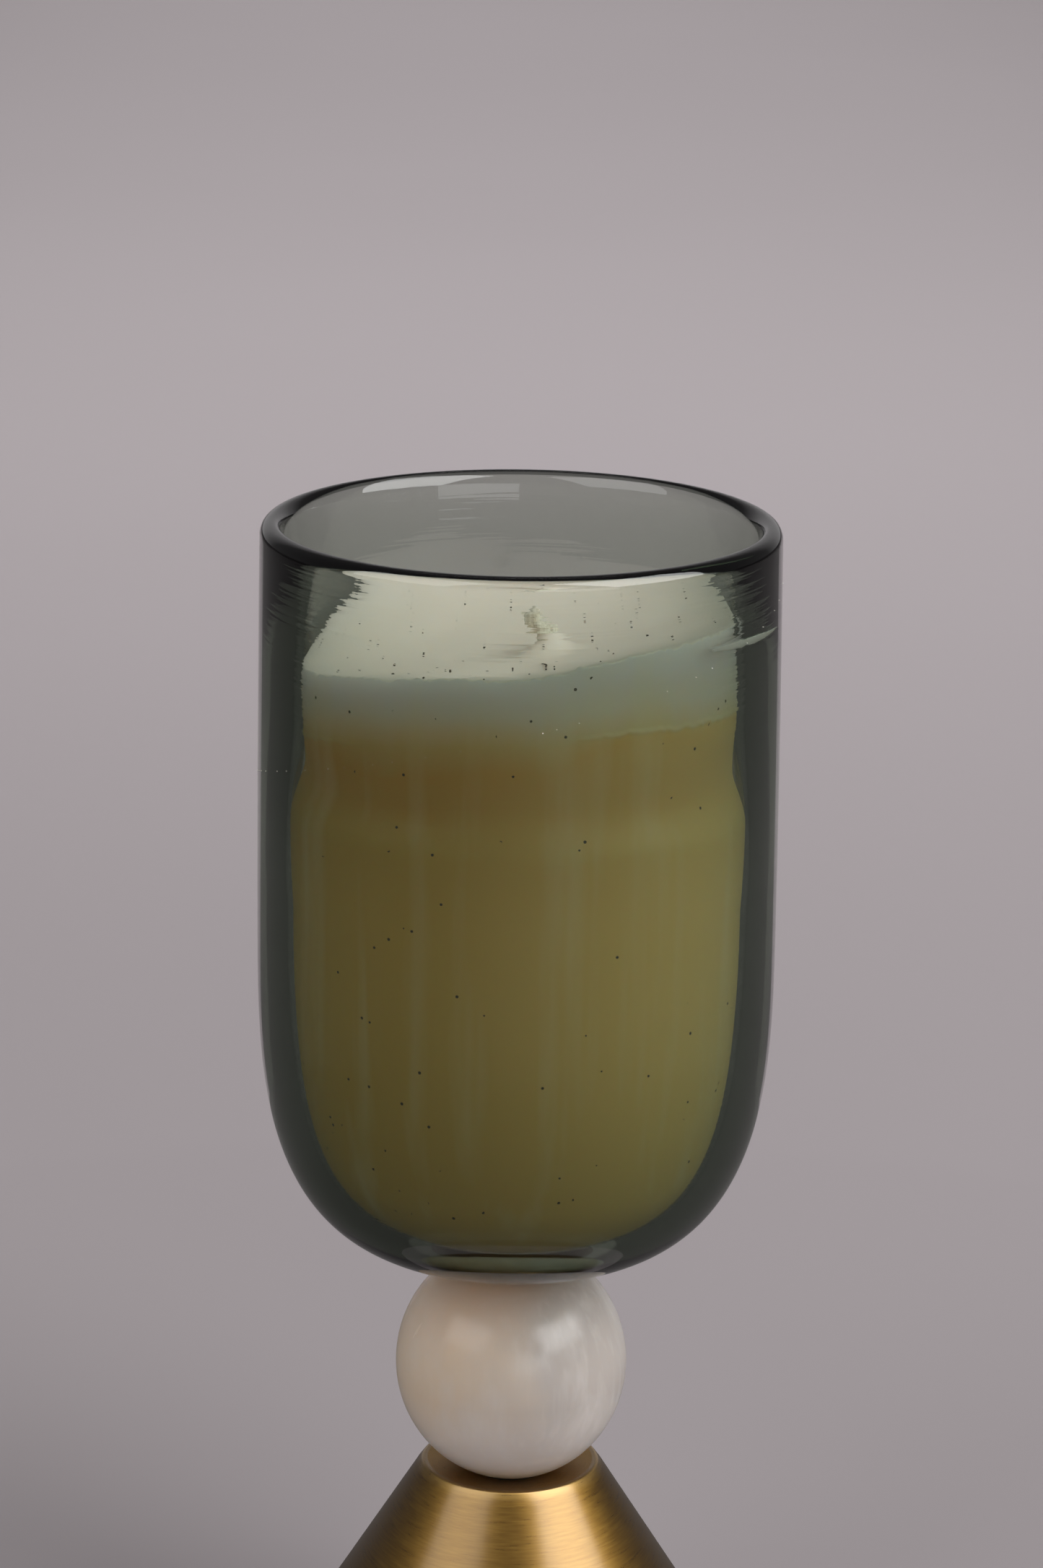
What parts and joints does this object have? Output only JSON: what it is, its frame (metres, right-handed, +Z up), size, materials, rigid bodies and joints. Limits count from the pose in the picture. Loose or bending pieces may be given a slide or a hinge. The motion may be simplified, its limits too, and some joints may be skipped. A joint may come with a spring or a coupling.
{
  "type": "candle holder",
  "caption": "Smoked glass cup with a poured wax candle, carried by a polished stone ball on a brushed brass cone base.",
  "frame": {"origin": "centre of the felt pad's underside, on the plane the piece stands on", "axes": "+Z up along the axis of the cone, ball and cup; +Y away from the viewer of the front; +X to the viewer's right, the side the wick leans to"},
  "size_m": [0.0906, 0.0906, 0.2135],
  "materials": {
    "smoked_glass": "clear smoked grey-green glass, fire-polished",
    "cream_wax": "poured cream candle wax, soft satin",
    "cotton": "braided undyed cotton, waxed",
    "tinplate": "bright tinned sheet",
    "sticker_foam": "white foam, self-adhesive both sides",
    "clear_adhesive": "cured clear adhesive, faintly yellow",
    "polished_brass": "turned, lightly polished",
    "silicone": "matt black silicone rubber",
    "white_stone": "polished translucent white stone with fine fibrous sheen",
    "nylon": "natural nylon",
    "brushed_brass": "antique brass, brushed round the axis",
    "zinc_steel": "zinc-plated steel",
    "ballast_iron": "cast iron, black lacquer",
    "felt": "black wool felt"
  },
  "bodies": {
    "root": {"glass_cup": "smoked_glass", "wax_fill": "cream_wax", "wick": "cotton", "wick_sustainer": "tinplate", "sustainer_sticker": "sticker_foam", "bond_disc": "clear_adhesive", "cup_plate": "polished_brass", "pad_washer": "silicone", "stone_ball": "white_stone", "centring_sleeve": "nylon", "seat_ring": "silicone", "base_cone": "brushed_brass", "tie_rod": "zinc_steel", "base_weight": "ballast_iron", "flat_washer": "zinc_steel", "lock_washer": "zinc_steel", "hex_nut": "zinc_steel", "felt_pad": "felt"}
  },
  "joints": []
}
